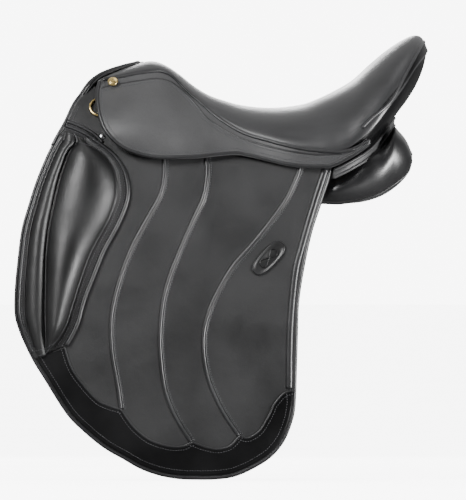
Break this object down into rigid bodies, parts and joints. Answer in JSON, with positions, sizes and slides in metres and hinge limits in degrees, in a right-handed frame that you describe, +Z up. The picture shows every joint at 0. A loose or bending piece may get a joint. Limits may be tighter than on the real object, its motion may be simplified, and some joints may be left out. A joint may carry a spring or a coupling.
{
  "type": "english saddle",
  "caption": "Dressage-cut english saddle with deep seat, external knee blocks, lifting flaps, girth straps and stirrup bars.",
  "frame": {"origin": "centre plane of the saddle, at the level where the panels bear on the horse's back below the seat", "axes": "+X towards the cantle (rear), -Y is the near (left) side, +Z up"},
  "size_m": [0.573, 0.3756, 0.6165],
  "materials": {
    "black_leather": "fine grain, semi-matt",
    "seat_leather": "fine grain, soft sheen",
    "panel_leather": "smooth, glossy",
    "patent_leather": "smooth, high gloss",
    "strap_leather": "waxed bridle leather",
    "laminate": "lacquered laminate",
    "dark_steel": "black enamel",
    "canvas": "woven webbing",
    "seat_foam": "resilient foam",
    "brass": "polished",
    "stainless": "forged and polished"
  },
  "bodies": {
    "saddle": {"tree_frame": "laminate", "tree_head": "laminate", "head_plate": "dark_steel", "gullet_plate": "dark_steel", "arch_lining": "black_leather", "seat_webbing": "canvas", "seat_foam": "seat_foam", "seat_cover": "seat_leather", "cantle_back": "seat_leather", "panel_band": "black_leather", "gullet_lining": "black_leather", "front_welt": "black_leather", "head_nails": "brass", "flap_screws": "stainless", "bar_rivets": "stainless", "catch_pins": "stainless", "billet_rivets": "brass", "left_skirt": "black_leather", "left_skirt_welt": "black_leather", "left_flap_head": "black_leather", "left_sweat_flap": "black_leather", "left_panel": "panel_leather", "left_point_pocket": "black_leather", "left_stirrup_bar": "stainless", "left_ring_staple": "brass", "left_girth_webbing": "canvas", "left_spring": "dark_steel", "right_skirt": "black_leather", "right_skirt_welt": "black_leather", "right_flap_head": "black_leather", "right_sweat_flap": "black_leather", "right_panel": "panel_leather", "right_point_pocket": "black_leather", "right_stirrup_bar": "stainless", "right_ring_staple": "brass", "right_girth_webbing": "canvas", "right_spring": "dark_steel"},
    "left_flap_group": {"left_flap": "black_leather", "left_knee_block_base": "black_leather", "left_knee_block": "patent_leather", "left_hem_guard": "patent_leather", "left_flap_patch": "patent_leather"},
    "left_skirt_fold": {"left_skirt_lobe": "black_leather"},
    "left_catch": {"left_bar_catch": "stainless"},
    "left_ring": {"left_front_ring": "brass"},
    "left_point_strap": {"left_point_billet": "strap_leather"},
    "left_rear_strap": {"left_rear_billet": "strap_leather"},
    "right_flap_group": {"right_flap": "black_leather", "right_knee_block_base": "black_leather", "right_knee_block": "patent_leather", "right_hem_guard": "patent_leather", "right_flap_patch": "patent_leather"},
    "right_skirt_fold": {"right_skirt_lobe": "black_leather"},
    "right_catch": {"right_bar_catch": "stainless"},
    "right_ring": {"right_front_ring": "brass"},
    "right_point_strap": {"right_point_billet": "strap_leather"},
    "right_rear_strap": {"right_rear_billet": "strap_leather"}
  },
  "joints": [
    {"name": "left_flap_lift", "type": "hinge", "parent": "saddle", "child": "left_flap_group", "pos_m": [-0.057, -0.1246, 0.05801], "axis": [-0.9911, 0.0852, 0.1027], "range_deg": [0, 80]},
    {"name": "left_skirt_lift", "type": "hinge", "parent": "saddle", "child": "left_skirt_fold", "pos_m": [-0.085, -0.10349, 0.1235], "axis": [-0.9142, 0.1838, 0.3613], "range_deg": [0, 80]},
    {"name": "left_bar_catch", "type": "hinge", "parent": "saddle", "child": "left_catch", "pos_m": [-0.095, -0.11384, 0.107], "axis": [0, -1, 0], "range_deg": [0, 55]},
    {"name": "left_ring_swing", "type": "hinge", "parent": "saddle", "child": "left_ring", "pos_m": [-0.18816, -0.08392, 0.14775], "axis": [-0.9997, 0.0205, -0.0115], "range_deg": [0, 12]},
    {"name": "left_point_strap_swing", "type": "hinge", "parent": "saddle", "child": "left_point_strap", "pos_m": [-0.098, -0.10637, 0.06925], "axis": [0.0708, 0.988, -0.137], "range_deg": [-6, 6]},
    {"name": "left_rear_strap_swing", "type": "hinge", "parent": "saddle", "child": "left_rear_strap", "pos_m": [0.022, -0.11628, 0.05682], "axis": [0.0704, 0.9876, -0.1402], "range_deg": [-6, 6]},
    {"name": "right_flap_lift", "type": "hinge", "parent": "saddle", "child": "right_flap_group", "pos_m": [-0.057, 0.1246, 0.05801], "axis": [0.9911, 0.0852, -0.1027], "range_deg": [0, 80]},
    {"name": "right_skirt_lift", "type": "hinge", "parent": "saddle", "child": "right_skirt_fold", "pos_m": [-0.085, 0.10349, 0.1235], "axis": [0.9142, 0.1838, -0.3613], "range_deg": [0, 80]},
    {"name": "right_bar_catch", "type": "hinge", "parent": "saddle", "child": "right_catch", "pos_m": [-0.095, 0.11384, 0.107], "axis": [0, -1, 0], "range_deg": [0, 55]},
    {"name": "right_ring_swing", "type": "hinge", "parent": "saddle", "child": "right_ring", "pos_m": [-0.18816, 0.08392, 0.14775], "axis": [0.9997, 0.0205, 0.0115], "range_deg": [0, 12]},
    {"name": "right_point_strap_swing", "type": "hinge", "parent": "saddle", "child": "right_point_strap", "pos_m": [-0.098, 0.10637, 0.06925], "axis": [-0.0708, 0.988, 0.137], "range_deg": [-6, 6]},
    {"name": "right_rear_strap_swing", "type": "hinge", "parent": "saddle", "child": "right_rear_strap", "pos_m": [0.022, 0.11628, 0.05682], "axis": [-0.0704, 0.9876, 0.1402], "range_deg": [-6, 6]}
  ]
}
